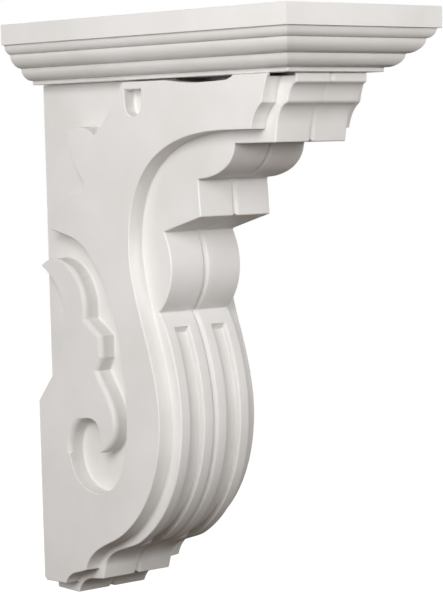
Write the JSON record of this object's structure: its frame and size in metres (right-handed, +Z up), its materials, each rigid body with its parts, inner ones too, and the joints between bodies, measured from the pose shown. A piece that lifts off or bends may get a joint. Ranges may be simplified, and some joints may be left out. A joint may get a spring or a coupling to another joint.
{
  "type": "scroll corbel",
  "caption": "Wall bracket with a scrolled, fluted body and a moulded cap, for carrying a shelf, mantel or cornice.",
  "frame": {"origin": "middle of the flat back face that goes against the wall, half way up and on the centre line", "axes": "+Z up, +Y into the wall, -Y the way the corbel stands out, +X to the right as seen from the room's side looking along +Y"},
  "size_m": [0.217, 0.432, 0.61],
  "materials": {
    "primed_body": "moulded dense polyurethane with a sprayed off-white primer, satin-matte",
    "primed_cap": "moulded dense polyurethane with a sprayed off-white primer, satin-matte"
  },
  "bodies": {
    "root": {"corbel_body": "primed_body", "cap": "primed_cap"}
  },
  "joints": []
}
